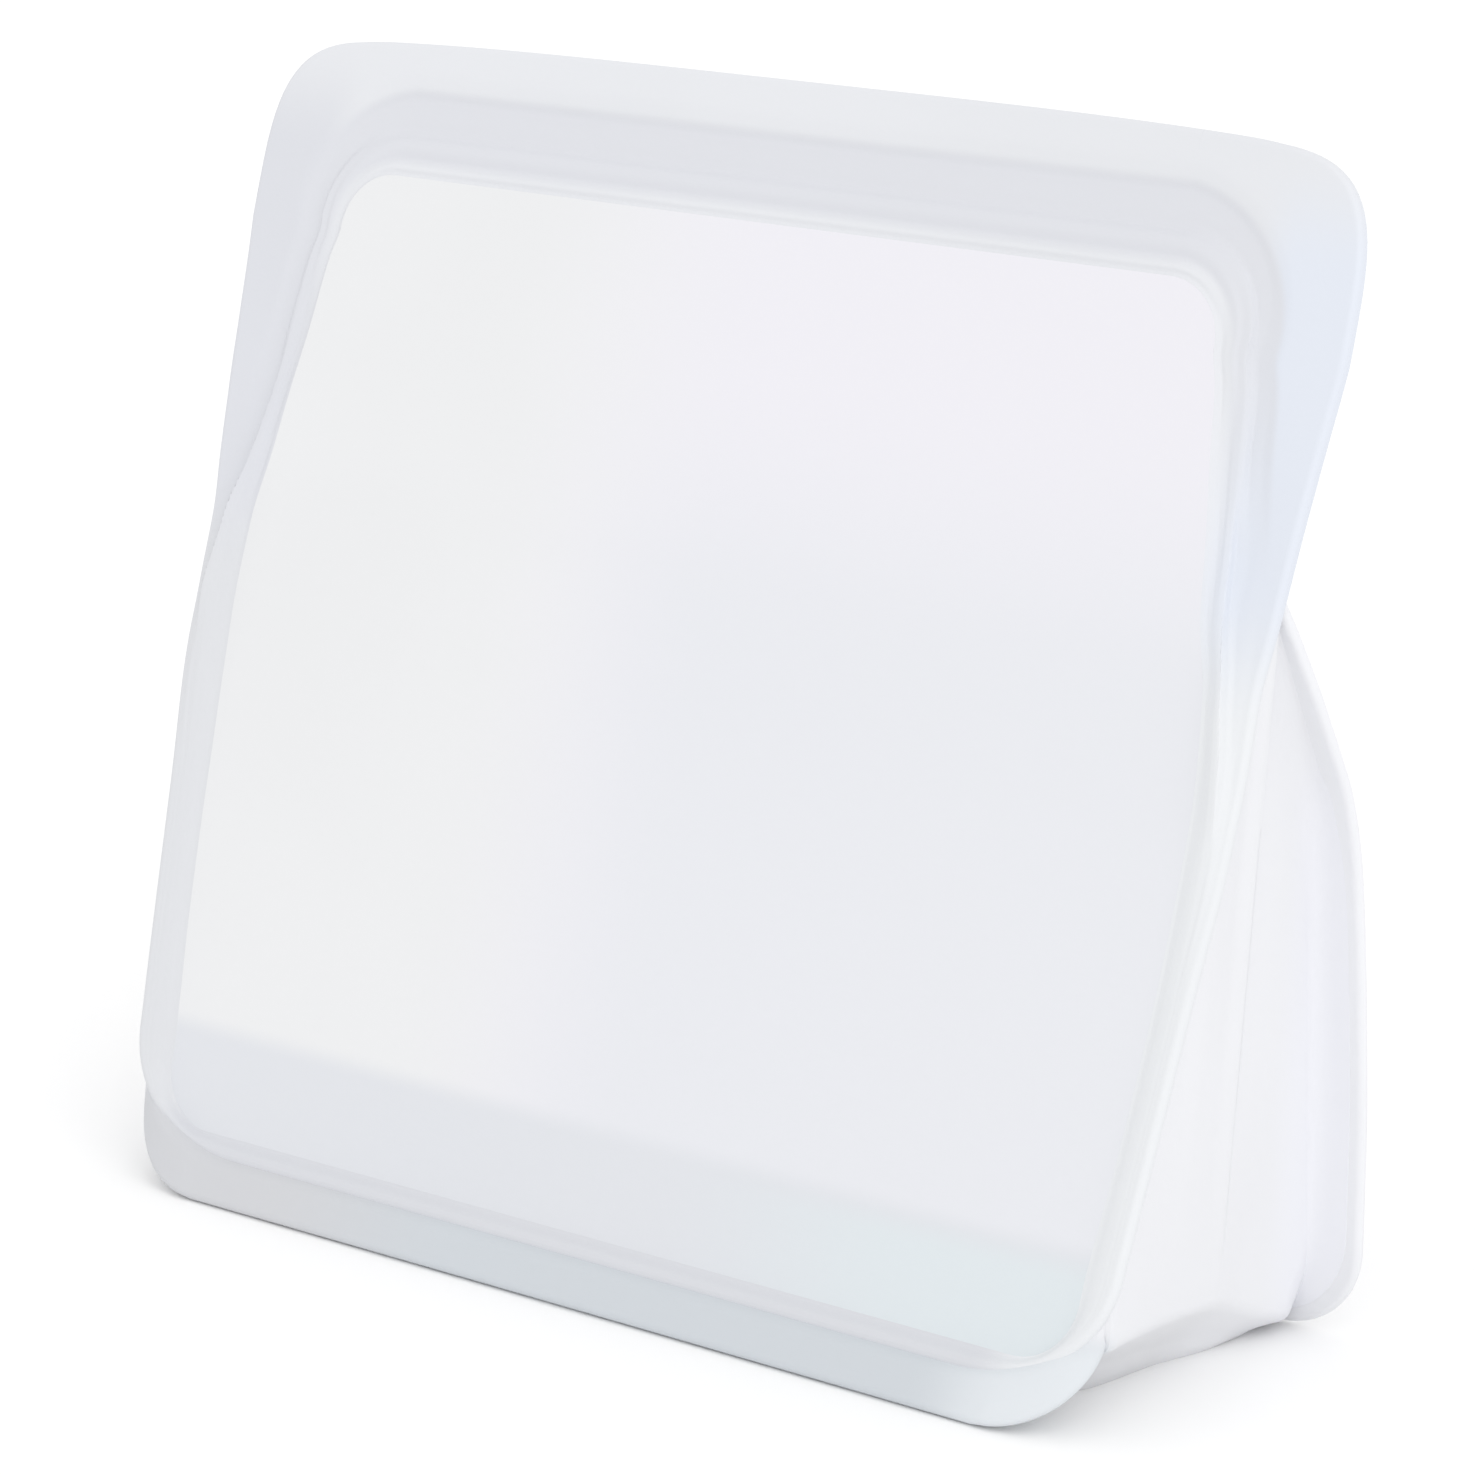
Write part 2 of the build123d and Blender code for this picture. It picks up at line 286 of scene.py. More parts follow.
UNDER_PINCH_SECTION = [
    (0, -0.3), (0.5, -0.3), (1.0, -0.5), (1.6, -0.9), (2.4, -1.5), (3.2, -2.1),
    (4.0, -2.4), (4.5, -1.1), (5.2, -0.6), (6.0, -0.5), (7.0, -0.4), (None, -0.4),
]
MERGE_SECTION = [
    (0, 0.3), (0.5, 0.2), (1.0, 0.0), (1.6, -0.4), (2.6, -1.2), (3.8, -2.0),
    (4.9, -2.3), (5.3, -1.3), (5.8, -0.8), (6.1, -0.6), (6.3, -0.5), (None, -0.4),
]
CURL_SECTION = [
    (0, 0.8), (0.5, 0.7), (1.1, 0.4), (1.8, 0.0), (2.9, -0.6), (4.0, -1.0),
    (5.0, -1.1), (5.4, -1.1), (5.7, -1.0), (6.0, -0.9), (6.2, -0.8), (None, -0.7),
]
LOWER_SECTION = [
    (0, 1.2), (0.5, 1.1), (1.1, 0.8), (1.8, 0.4), (2.7, 0.0), (3.6, -0.3),
    (4.1, -0.4), (4.4, -0.5), (4.7, -0.55), (4.9, -0.6), (5.1, -0.65), (None, -0.7),
]
FOOT_SECTION = [
    (0, 1.3), (0.4, 1.2), (0.8, 0.9), (1.2, 0.5), (1.7, 0.1), (2.2, -0.1),
    (2.6, -0.2), (2.9, -0.2), (3.1, -0.2), (3.3, -0.15), (3.5, -0.1), (None, 0.0),
]


def along_side(height):
    """Place along the border at a height of its side: 2 is the top corner's end, 3 the bottom's start."""
    top = SEAL_FOOT - PANEL_CORNER
    return 2 + (top - height) / (top - FOOT_PIVOT[1])


SECTIONS = [
    (1.0, TOP_SECTION),
    (2.0, SHOULDER_SECTION),
    (along_side(136), UPPER_SECTION),
    (along_side(126), OVER_PINCH_SECTION),
    (along_side(115), PINCH_SECTION),
    (along_side(105), UNDER_PINCH_SECTION),
    (along_side(94), MERGE_SECTION),
    (along_side(84), CURL_SECTION),
    (along_side(62), LOWER_SECTION),
    (3.0, LOWER_SECTION),
    (4.0, FOOT_SECTION),
    (5.0, FOOT_SECTION),
]


def top_sag(x):
    """How far the top edge has fallen at x."""
    return TOP_SAG * min(1.0, (x / (TOP_HALF - SEAM_INSET)) ** 4)


def seam_reach(turn):
    """Distance from a top corner's pivot to its outline, turn being the angle from straight up."""
    wide, high = TOP_HALF - LIP_HALF, SLOPE_HEIGHT - SEAL_FOOT + PANEL_CORNER
    n = SEAM_SQUARENESS
    return ((sin(turn) / wide) ** n + (cos(turn) / high) ** n) ** (-1 / n)


def foot_ray(pivot, direction, half):
    """Where a ray from pivot meets the border's outline round its bottom corner."""
    wide, high = FOOT_CORNER
    centre = np.array([half - wide, EDGE_FOOT + high])
    pivot, direction = np.asarray(pivot, float), np.asarray(direction, float)
    if direction[1] < 0:
        met = pivot + direction * (EDGE_FOOT - pivot[1]) / direction[1]
        if met[0] <= centre[0]:
            return met
    offset = (pivot - centre) / FOOT_CORNER
    way = direction / FOOT_CORNER
    along = offset @ way
    length = way @ way
    return pivot + direction * (sqrt(along**2 - length * (offset @ offset - 1)) - along) / length


def side_half(height):
    """Half width of the border's outer edge beside the panel."""
    wide, high = FOOT_CORNER
    below = max(0.0, EDGE_FOOT + high - height)
    half = curve(OUTER_KEYS, max(height, EDGE_FOOT + high))[0]
    return half - wide * (1 - sqrt(1 - (below / high) ** 2))


TOP_TURNS, SIDE_STEPS, FOOT_TURNS, BASE_STEPS = 40, 110, 26, 60   # stations of each stretch


def border_stations():
    """Crease point, outer point and place along the border, from the mouth's right end to the bottom."""
    found = []
    pivot = np.array([LIP_HALF, SEAL_FOOT - PANEL_CORNER])
    for turn in np.linspace(0, pi / 2, TOP_TURNS):
        way = np.array([sin(turn), cos(turn)])
        outer = pivot + way * seam_reach(turn)
        outer[1] -= top_sag(outer[0]) * cos(turn)
        found.append((pivot + way * PANEL_CORNER, outer, 1 + turn / (pi / 2)))
    for height in np.linspace(pivot[1], FOOT_PIVOT[1], SIDE_STEPS)[1:-1]:
        crease, outer = curve(CREASE_KEYS, height)[0], side_half(height)
        found.append((np.array([crease, height]), np.array([outer, height]), along_side(height)))
    pivot = np.array(FOOT_PIVOT)
    radius = FOOT_PIVOT[1] - PANEL_FOOT
    half = curve(OUTER_KEYS, EDGE_FOOT + FOOT_CORNER[1])[0]
    for turn in np.linspace(0, pi / 2, FOOT_TURNS):
        way = np.array([cos(turn), -sin(turn)])
        outer = foot_ray(pivot, way, half)
        found.append((pivot + way * radius, outer, 3 + turn / (pi / 2)))
    for x in np.linspace(FOOT_PIVOT[0], 0, BASE_STEPS)[1:]:
        outer = foot_ray((x, FOOT_PIVOT[1]), (0, -1), half)
        found.append((np.array([x, PANEL_FOOT]), outer, 5 - x / FOOT_PIVOT[0]))
    return found


FRONT_POINTS, EDGE_POINTS, BACK_POINTS = 72, 7, 36   # of a section's face, free edge and rear
FRONT_SPACING = 1.25          # above 1, the points of the front face crowd towards the crease
BLEND_OUT = 6.0               # stretch beside the outer edge where the rear follows the front alone
FLANGE_WALL = 2.0             # thickness of the border below the pinch
RELIEF_SHARE, RELIEF_LEVEL = 0.4, 0.3   # how much of the relief the rear mirrors, and its zero depth
KEY_GAP = 0.3                 # least distance between the last two keys of a section
EDGE_FLAT = 0.01              # half the flat left between the two rounds of the free edge


def section_at(place, width):
    """Distances and depths of the border's section at one place along it."""
    keys = [
        (where, [(width - EDGE_RADIUS if d is None else d, depth) for d, depth in section])
        for where, section in SECTIONS
    ]
    found = curve(keys, place)[0]
    found[:-1, 0] *= min(1.0, (width - EDGE_RADIUS - KEY_GAP) / found[-2, 0])
    found[-1, 0] = width - EDGE_RADIUS
    return found


def repeated_behind(depth):
    """Depth of the rear face behind a point of the seal zone's front face."""
    return BACK_FACE - RELIEF_SHARE * (depth - RELIEF_LEVEL)


def fused(place):
    """1 where the border holds the front and back halves together, 0 where it is the front's alone."""
    return ease((along_side(106) - place) / (along_side(106) - along_side(130)))


# The thick, darker band round the seal: where it starts and ends, how fast, and its strength by place.
THICK_START, THICK_END_KEYS = 1.6, [(1, 12.6), (2, 8.6)]
THICK_FADE = 1.6
THICK_SHARE_KEYS = [(1, 1.0), (2, 0.8), (2.25, 0.0), (5, 0.0)]


def thick_band(distance, place):
    """How much the border belongs, that far out from its crease, to the thick band of the seal."""
    end = curve(THICK_END_KEYS, place)[0]
    inside = ease((distance - THICK_START) / THICK_FADE) * (1 - ease((distance - end) / THICK_FADE))
    return inside * curve(THICK_SHARE_KEYS, place)[0]


def border_loop(crease, outer, place):
    """Closed section of the border at one station: x, y, z and how thick the silicone is there."""
    width = hypot(*(outer - crease))
    way = (outer - crease) / width
    keys = section_at(place, width)
    keys[0, 1] = curve(CREASE_DEPTH_KEYS, crease[1])[0]
    front_keys = list(zip(keys[:, 0], keys[:, 1]))
    share = fused(place)
    out = ease(keys[:, 0] / (width - BLEND_OUT))
    joined = (1 - out) * repeated_behind(keys[:, 1]) + out * (keys[:, 1] + SEAM_WALL)
    rear_depths = share * joined + (1 - share) * (keys[:, 1] + FLANGE_WALL)
    back_keys = list(zip(keys[:, 0], rear_depths))
    reach = width - EDGE_RADIUS
    d_front = reach * np.linspace(0, 1, FRONT_POINTS) ** FRONT_SPACING
    front = curve(front_keys, d_front)
    d_back = reach * np.linspace(1, 0, BACK_POINTS)
    back = curve(back_keys, d_back)
    turn = np.linspace(0, pi / 2, EDGE_POINTS)[1:]
    d_round = reach + EDGE_RADIUS * np.sin(turn)
    radius = min(EDGE_RADIUS, (back[0] - front[-1]) / 2 - EDGE_FLAT)
    front_round = front[-1] + radius * (1 - np.cos(turn))
    back_round = (back[0] - radius * (1 - np.cos(turn)))[::-1]
    distance = np.concatenate([d_front, d_round, d_round[::-1], d_back])
    depth = np.concatenate([front, front_round, back_round, back])
    loop = on_slope(crease[0] + way[0] * distance, crease[1] + way[1] * distance, depth)
    return np.column_stack([loop, thick_band(distance, place)])


def border(material):
    right = [border_loop(*station) for station in border_stations()]
    left = [loop * [-1, 1, 1, 1] for loop in right[:-1]]
    loops = np.array(right + left[::-1])
    piece = sweep("border_skin", loops[..., :3], material, loops[..., 3].ravel())
    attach(piece, "front_shell")
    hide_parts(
        "front_flange_left", "front_flange_right", "front_flange_bottom",
        "front_shoulder_left", "front_shoulder_right", "side_seam_left", "side_seam_right",
    )


# The front panel.

PANEL_PUFF = 0.9              # how far the panel swells forward in its middle
PANEL_WALL = 2.0
WAVE, WAVE_ACROSS, WAVE_UP = 0.18, 21.0, 37.0   # height of its ripple, and 1 / 2 pi of its two lengths
PANEL_ROWS, PANEL_COLUMNS = 120, 90


def panel_depth(x, height):
    """Depth of the panel's front face: its crease line, swollen forward a little in the middle."""
    base = curve(CREASE_DEPTH_KEYS, height.ravel()).reshape(height.shape)
    half = crease_half(height.ravel()).reshape(height.shape)
    across = 1 - (x / np.maximum(half, 1.0)) ** 2
    up = np.clip((height - PANEL_FOOT) / (SEAL_FOOT - PANEL_FOOT), 0, 1)
    puff = PANEL_PUFF * across * np.sin(pi * up) ** 0.8
    wave = WAVE * np.sin(x / WAVE_ACROSS + height / WAVE_UP) * across * np.sin(pi * up)
    return base - puff + wave


def front_panel(material):
    height = spread(PANEL_ROWS, PANEL_FOOT, SEAL_FOOT)[:, None] * np.ones((1, PANEL_COLUMNS))
    across = np.sin(np.linspace(-pi / 2, pi / 2, PANEL_COLUMNS))[None, :]
    x = across * crease_half(height[:, 0])[:, None]
    depth = panel_depth(x, height)
    front, rear = on_slope(x, height, depth), on_slope(x, height, depth + PANEL_WALL)
    piece = slab("front_panel_skin", front, rear, material)
    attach(piece, "front_shell")
    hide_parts("front_panel")


# The two lips of the mouth and the back wall, each in two halves, from the fused corners to the middle.

RIB_HEIGHT = 168.0            # slope height of the press seal's rib
RIB_HALF = 1.0                # half its height
RIB_REACH = 1.5               # how far it stands out from the front lip
RIB_BULGE, RIB_BULGE_DEPTH = 1.3, 0.4   # its head is that many times as tall, that far from its end
LIP_GAP = 0.15                # each lip stands this far off the plane where they meet
LIP_COLUMNS = 60              # sections of each half of a lip
FLAT_TOP = SEAL_FOOT + 17.5   # slope height above which a lip takes the sag of the top edge


def sagged(x, height):
    """Height of a point of a lip once the top edge has its sag."""
    share = np.clip((height - FLAT_TOP) / (SLOPE_HEIGHT - FLAT_TOP), 0, 1)
    return height - TOP_SAG * (np.abs(x) / (TOP_HALF - SEAM_INSET)) ** 4 * share


def rounded_top(outer, inner):
    """Top of the front lip from its outer face to its inner one: a rounded edge, then a flat."""
    turn = np.linspace(0, pi / 2, EDGE_POINTS)[1:]
    heights = SLOPE_HEIGHT - EDGE_RADIUS * (1 - np.sin(turn))
    depths = outer + EDGE_RADIUS * (1 - np.cos(turn))
    return list(zip(heights, depths)) + [(SLOPE_HEIGHT, inner)]


def front_lip_section():
    """Closed section of the front lip as (height, depth): outer face, top, inner face with the rib."""
    keys = section_at(1.0, SLOPE_HEIGHT - SEAL_FOOT)
    reach = SLOPE_HEIGHT - SEAL_FOOT - EDGE_RADIUS
    distance = reach * np.linspace(0, 1, FRONT_POINTS) ** FRONT_SPACING
    depths = curve(list(zip(keys[:, 0], keys[:, 1])), distance)
    inner = LIP_MIDDLE - LIP_GAP
    rib_face = inner + RIB_REACH
    widest, bulge = RIB_HALF * RIB_BULGE, rib_face - RIB_BULGE_DEPTH
    points = list(zip(SEAL_FOOT + distance, depths))
    points += rounded_top(depths[-1], inner)
    points += [
        (RIB_HEIGHT + RIB_HALF, inner), (RIB_HEIGHT + widest, bulge), (RIB_HEIGHT + RIB_HALF, rib_face),
        (RIB_HEIGHT - RIB_HALF, rib_face), (RIB_HEIGHT - widest, bulge), (RIB_HEIGHT - RIB_HALF, inner),
        (SEAL_FOOT, inner),
    ]
    return points


def front_lips(material):
    section = np.array(front_lip_section())
    thick = np.tile(thick_band(section[:, 0] - SEAL_FOOT, 1.0), LIP_COLUMNS)
    for side, sign in (("right", 1), ("left", -1)):
        xs = np.linspace(0, LIP_HALF, LIP_COLUMNS)
        loops = [on_slope(sign * x, sagged(x, section[:, 0]), section[:, 1]) for x in xs]
        piece = sweep(f"front_lip_{side}_skin", loops, material, thick)
        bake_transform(piece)
        if side == "right":
            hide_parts("front_lip_wall", "front_lip_rim", "front_lip_ridge", "front_seal_rib")


BACK_WALL = 1.6
BACK_STAND = 0.3              # how far the back wall stands behind the border's rear face at its sides
BACK_PUFF = 2.0               # how far it swells backwards just above the pinch
LIP_STEP = 0.6                # height over which the back wall turns into the back lip
CHANNEL_HALF = 3.7            # half height of the press seal's channel, outside
CHANNEL_PROUD = 1.5           # how far the channel stands out behind the lip
CHANNEL_SLOPE = 1.2           # height over which it does so
CHANNEL_END = 7.0             # length over which it fades out before each fused corner
GROOVE_PLAY = 0.9             # room above and below the rib at the channel's mouth
GROOVE_SLOPE = 0.5            # height over which the channel deepens there
LEAST_LIP_WALL = 0.35
TOP_EDGE_SHARE = 0.25         # share of the back lip's wall that is left at the end of its rounded top
WALL_ROWS, CORNER_ROWS, LIP_ROWS, TOP_ROWS = 30, 20, 90, 8


def back_depths(x, height, half):
    """Depths of the inner and outer faces of the back wall and the back lip."""
    keys = section_at(1.0, SLOPE_HEIGHT - SEAL_FOOT)
    distance = np.clip(height - SEAL_FOOT, 0, SLOPE_HEIGHT - SEAL_FOOT)
    front = curve(list(zip(keys[:, 0], keys[:, 1])), distance.ravel()).reshape(height.shape)
    off_rib = np.abs(height - RIB_HEIGHT)
    channel = CHANNEL_PROUD * ease((CHANNEL_HALF - off_rib) / CHANNEL_SLOPE)
    channel = channel * ease((LIP_HALF - np.abs(x)) / CHANNEL_END)
    lip_outer = repeated_behind(front) + channel
    up = np.clip((height - PINCH) / (SEAL_FOOT - PINCH), 0, 1)
    across = np.clip(1 - (x / half) ** 2, 0, 1)
    wall_outer = BACK_FACE + BACK_STAND + BACK_PUFF * across**0.6 * (1 - up) ** 0.5
    in_lip = ease((height - SEAL_FOOT + LIP_STEP / 2) / LIP_STEP)
    outer = wall_outer * (1 - in_lip) + lip_outer * in_lip
    inner_wall = wall_outer - BACK_WALL
    groove = RIB_REACH * ease((RIB_HALF + GROOVE_PLAY - off_rib) / GROOVE_SLOPE)
    inner_lip = LIP_MIDDLE + LIP_GAP + groove
    inner = inner_wall * (1 - in_lip) + np.minimum(inner_lip, outer - LEAST_LIP_WALL) * in_lip
    return inner, outer


def back_walls(material):
    wall = np.linspace(PINCH, SEAL_FOOT - PANEL_CORNER, WALL_ROWS)[:-1]
    corner = SEAL_FOOT - PANEL_CORNER * (1 - np.sin(np.linspace(0, pi / 2, CORNER_ROWS)))
    lip = np.linspace(SEAL_FOOT, SLOPE_HEIGHT - EDGE_RADIUS, LIP_ROWS)[1:]
    top = SLOPE_HEIGHT - EDGE_RADIUS * (1 - np.sin(np.linspace(0, pi / 2, TOP_ROWS)[1:]))
    rows = np.concatenate([wall, corner, lip, top])
    half = np.where(rows < SEAL_FOOT, crease_half(np.minimum(rows, SEAL_FOOT)), LIP_HALF)
    columns = np.linspace(0, 1, LIP_COLUMNS)[None, :]
    height = rows[:, None] * np.ones_like(columns)
    top_share = TOP_EDGE_SHARE + (1 - TOP_EDGE_SHARE) * rim(SLOPE_HEIGHT - height)
    wall_share = np.where(height > SLOPE_HEIGHT - EDGE_RADIUS, top_share, 1)
    for side, sign in (("right", 1), ("left", -1)):
        x = half[:, None] * columns * sign
        inner, outer = back_depths(x, height, half[:, None])
        outer = inner + (outer - inner) * wall_share
        level = sagged(x, height)
        loops = np.concatenate([on_slope(x, level, outer), on_slope(x, level, inner)[::-1]], axis=0)
        piece = sweep(f"back_wall_{side}_skin", np.swapaxes(loops, 0, 1), material, paired=True)
        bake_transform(piece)
        if side == "right":
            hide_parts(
                "back_wall_upper", "back_shoulder_left", "back_shoulder_right",
                "back_lip_wall", "back_lip_rim", "back_seal_channel",
            )


# The back leg with its flange.

# Where its middle surface stands, by height: at its sides and in its middle.  Then its half width.
LEG_EDGE_KEYS = [
    (0, 27.4), (16, 27.6), (30, 27.6), (46, 26.8), (58, 25.8), (71, 24.2),
    (83, 21.1), (89, 18.3), (96, 14.8), (102, 12.0), (108, 9.4), (114, 6.9),
]
LEG_MIDDLE_KEYS = [(0, 26.4), (30, 26.0), (62, 23.2), (90, 18.0), (105, 13.6), (110, 12.2), (115, 10.9)]
LEG_OUTER_KEYS = [(0, 100.0), (75, 100.0), (96, 99.2), (106, 97.9), (112, 96.6), (116, 95.4)]
LEG_FOOT = 0.5                # height of its bottom edge
LEG_CORNER = 13.0             # radius of its bottom corners
LEG_TOP_MIDDLE, LEG_TOP_EDGE = 114.8, 114.2   # height of its top edge in its middle and at its sides
LEG_BEND = (62.0, 36.0)       # half width of its flat middle, and the stretch over which its sides bend
LEG_BAND = 14.0               # width of the flange round the leg
LEG_HALF_WALL = 1.0
LEG_SWELL, LEG_GROOVE = 0.7, 0.4   # how the rear face rises inside that flange, and dips beside it
LEG_GROOVE_HALF = 0.8         # half width of that dip
LEG_ROWS, LEG_COLUMNS = 130, 121


def leg_half(z):
    """Half width of the leg, its round bottom corners included."""
    half = curve(LEG_OUTER_KEYS, z.ravel()).reshape(z.shape)
    up = np.clip(z - LEG_FOOT, 0, LEG_CORNER)
    return half - LEG_CORNER + np.sqrt(LEG_CORNER**2 - (LEG_CORNER - up) ** 2)


def leg_edge_share(x):
    """0 in the middle of the leg and 1 at its sides, which stand further forward at the top."""
    flat, bend = LEG_BEND
    return ease((np.abs(x) - flat) / bend)


def leg_y(x, z):
    """Middle surface of the bowed leg."""
    x, z = np.broadcast_arrays(np.asarray(x, float), np.asarray(z, float))
    middle = curve(LEG_MIDDLE_KEYS, z.ravel()).reshape(z.shape)
    edge = curve(LEG_EDGE_KEYS, z.ravel()).reshape(z.shape)
    return middle + (edge - middle) * leg_edge_share(x)


def back_leg(material):
    down = spread(LEG_ROWS, 0, 1)[:, None]
    across = np.sin(np.linspace(-pi / 2, pi / 2, LEG_COLUMNS))[None, :]
    top = LEG_TOP_MIDDLE + (LEG_TOP_EDGE - LEG_TOP_MIDDLE) * leg_edge_share(across * TOP_HALF)
    z = top + (LEG_FOOT - top) * down
    half = leg_half(z)
    x = across * half
    from_edge = np.minimum(half - np.abs(x), z - LEG_FOOT)
    pivot_x, pivot_z = TOP_HALF - LEG_CORNER, LEG_FOOT + LEG_CORNER
    corner = (np.abs(x) > pivot_x) & (z < pivot_z)
    from_edge = np.where(corner, LEG_CORNER - np.hypot(np.abs(x) - pivot_x, z - pivot_z), from_edge)
    from_edge[:, [0, -1]] = 0     # exactly, so that the two faces weld there
    from_edge[-1] = 0
    crease = ease((from_edge - LEG_BAND + 1.0) / 2.0)
    groove = np.exp(-((from_edge - LEG_BAND) / LEG_GROOVE_HALF) ** 2)
    front = LEG_HALF_WALL * rim(np.minimum(from_edge, top - z), LEG_HALF_WALL)
    rear = front * (1 + LEG_SWELL * crease - LEG_GROOVE * groove)
    middle = np.stack([x, leg_y(x, z), z], axis=-1)
    piece = shell("back_leg_skin", middle, front, rear, material)
    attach(piece, "back_leg")
    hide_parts("back_leg_panel", "back_flange_left", "back_flange_right", "back_flange_bottom")


# The gusset: one boat-shaped skin from the front border round under the bag to the leg.

GUSSET_HALF_WALL = 0.6
RIM_INSET = 1.2               # how far inside the border's outer edge the gusset meets it
FLAP_FRONT = 0.4              # how far the gusset goes on behind the border from there
# Depth of that meeting line, by slope height.
RIM_KEYS = [(0, 1.3), (8, 1.2), (17, 0.6), (62, 0.5), (84, 0.3), (105, 0.6), (120, 1.2)]
BROW_OUT, BROW_DEPTH = 0.1, -0.6   # the roll's upper edge: inside the border's edge, and its depth
BROW_SHARE = 0.7              # elsewhere the brow is that far along the straight from knee to rim
ROLL_FRONT = -32.6            # how far forward the roll under the front reaches before it is rounded
ROLL_CENTRE, ROLL_REACH = (74.0, 14.5), (15.8, 14.8)   # the roll's bottom corner, on the slope
ROLL_DEPTH, ROLL_LOW = 2.6, -2.3   # its depth beside that corner and below it
ROLL_KNEE = 0.2               # height of the roll's knee
FRONT_FLOOR = np.array([66.0, -24.0, 0.0])   # front corner of the part that lies flat, under the roll
ROUND_FRONT, ROUND_SIDE = 0.9, 1.2   # how far the knee is rounded
ROUND_HAUNCH, ROUND_BROW = 1.2, 1.0
WELD_ROUND = 9.0              # fillet where the gusset meets the leg; less fits at the border
# Half width at which the gusset meets the leg, by height.
WELD_KEYS = [(0, 92.0), (60, 92.4), (80, 93.0), (95, 93.6), (107, 94.0), (113, 94.4)]
WELD_SINK, FLAP_SINK = 0.3, 0.9   # how far the weld sinks into the leg, and the flap further than it
SIDE_TOP = 118.0              # slope height where the side's front edge meets the border
REAR_TOP, REAR_LOW = 112.6, 15.0   # heights where the rear edge of the side starts and its corner starts
REAR_FOOT, FLAP_FOOT = 3.6, 2.3    # heights of the weld and the flap along the rear bottom
REAR_HALF, REAR_CORNER = 92.0, 6.0   # half width of the weld at its bottom corner, and that corner's
FLAP_HALF = 87.0              # half width where the flap's bottom corner ends
FLAP_INSET = 1.8              # how far inside the rear flange's edge the gusset ends
REAR_KNEE = 25.2              # where the rear knee stands on the floor
HAUNCH_OUT, HAUNCH_UP = 0.3, 0.42   # where the floor bends, out and up from its flat part to the knee
FRONT_SIDE, REAR_SIDE = 0.5, 0.82   # places of the pinch and the rear corner along the keys below
DOWN_STATIONS, TURN_STATIONS, ACROSS_STATIONS = 60, 20, 30   # of the gusset's rear
STRIP_INWARD = 16             # points of a strip from the middle of the floor to its flat part's edge
STRIP_COUNTS = (4, 5, 5, 10, 18, 4, 8, 8, 6)   # and from there, straights and rounds in turn
# The lower edge of each side: knee points (x, y, z) at places from the front corner, 0, to the end of
# the rear corner, 1, and the outline (x, y) of the part that lies flat.
KNEE_KEYS = [
    (0.0, (90.6, -23.7, 12.2)), (0.1, (90.8, -19.0, 12.6)), (0.22, (90.7, -12.5, 12.4)),
    (0.36, (90.6, -5.3, 11.8)), (0.5, (90.5, 3.3, 10.3)), (0.6, (90.1, 9.2, 8.3)),
    (0.7, (90.4, 15.5, 5.4)), (0.8, (90.6, 19.5, 3.8)), (0.9, (90.0, 23.0, 2.2)),
    (1.0, (87.0, 25.2, 0.6)),
]
FLAT_KEYS = [
    (0.0, (74.0, -19.0)), (0.2, (79.0, -11.0)), (0.5, (81.5, 2.0)), (0.7, (84.5, 12.0)),
    (0.85, (85.0, 18.0)), (1.0, (80.0, 21.5)),
]


def rounded_path(points, radii, counts):
    """Path through corners, each rounded off that far from it; counts are its points per stretch."""
    path, start = [], points[0]
    for i, radius in enumerate(radii, 1):
        before, corner, after = start, points[i], points[i + 1]
        back_off = (before - corner) / np.linalg.norm(before - corner)
        go_on = (after - corner) / np.linalg.norm(after - corner)
        a = corner + back_off * min(radius, 0.9 * np.linalg.norm(before - corner))
        b = corner + go_on * min(radius, 0.6 * np.linalg.norm(after - corner))
        path.append(before + (a - before) * np.linspace(0, 1, counts[2 * i - 2])[:-1, None])
        s = np.linspace(0, 1, counts[2 * i - 1])[:, None]
        path.append(((1 - s) ** 2 * a + 2 * s * (1 - s) * corner + s**2 * b)[:-1])
        start = b
    path.append(start + (points[-1] - start) * np.linspace(0, 1, counts[-1])[:, None])
    return np.concatenate(path)


def height_share(height):
    """How far a point of the front edge is between the bottom corner and the pinch."""
    return np.clip((height - FOOT_PIVOT[1]) / (SIDE_TOP - FOOT_PIVOT[1]), 0, 1)


def knee_at(place):
    return curve(KNEE_KEYS, place)[0]


def flat_at(place):
    return np.append(curve(FLAT_KEYS, place)[0], 0.0)


def weld_flap(x, z, flap_x, flap_z):
    """Where the gusset meets the leg, and where it ends inside the leg's flange."""
    face = LEG_HALF_WALL + GUSSET_HALF_WALL - WELD_SINK
    rim_point = np.array([x, leg_y(x, z).item() - face, z])
    return rim_point, np.array([flap_x, leg_y(flap_x, flap_z).item() - face + FLAP_SINK, flap_z])


# A station is one strip's control points, which are the edge of its flat floor, its knee, brow, rim and
# flap, and how far its knee is rounded.


def plain_strip(flat, knee, rim_point, flap):
    """Station without a roll: its brow is on the straight from knee to rim."""
    return flat, knee, knee + (rim_point - knee) * BROW_SHARE, rim_point, flap, ROUND_SIDE


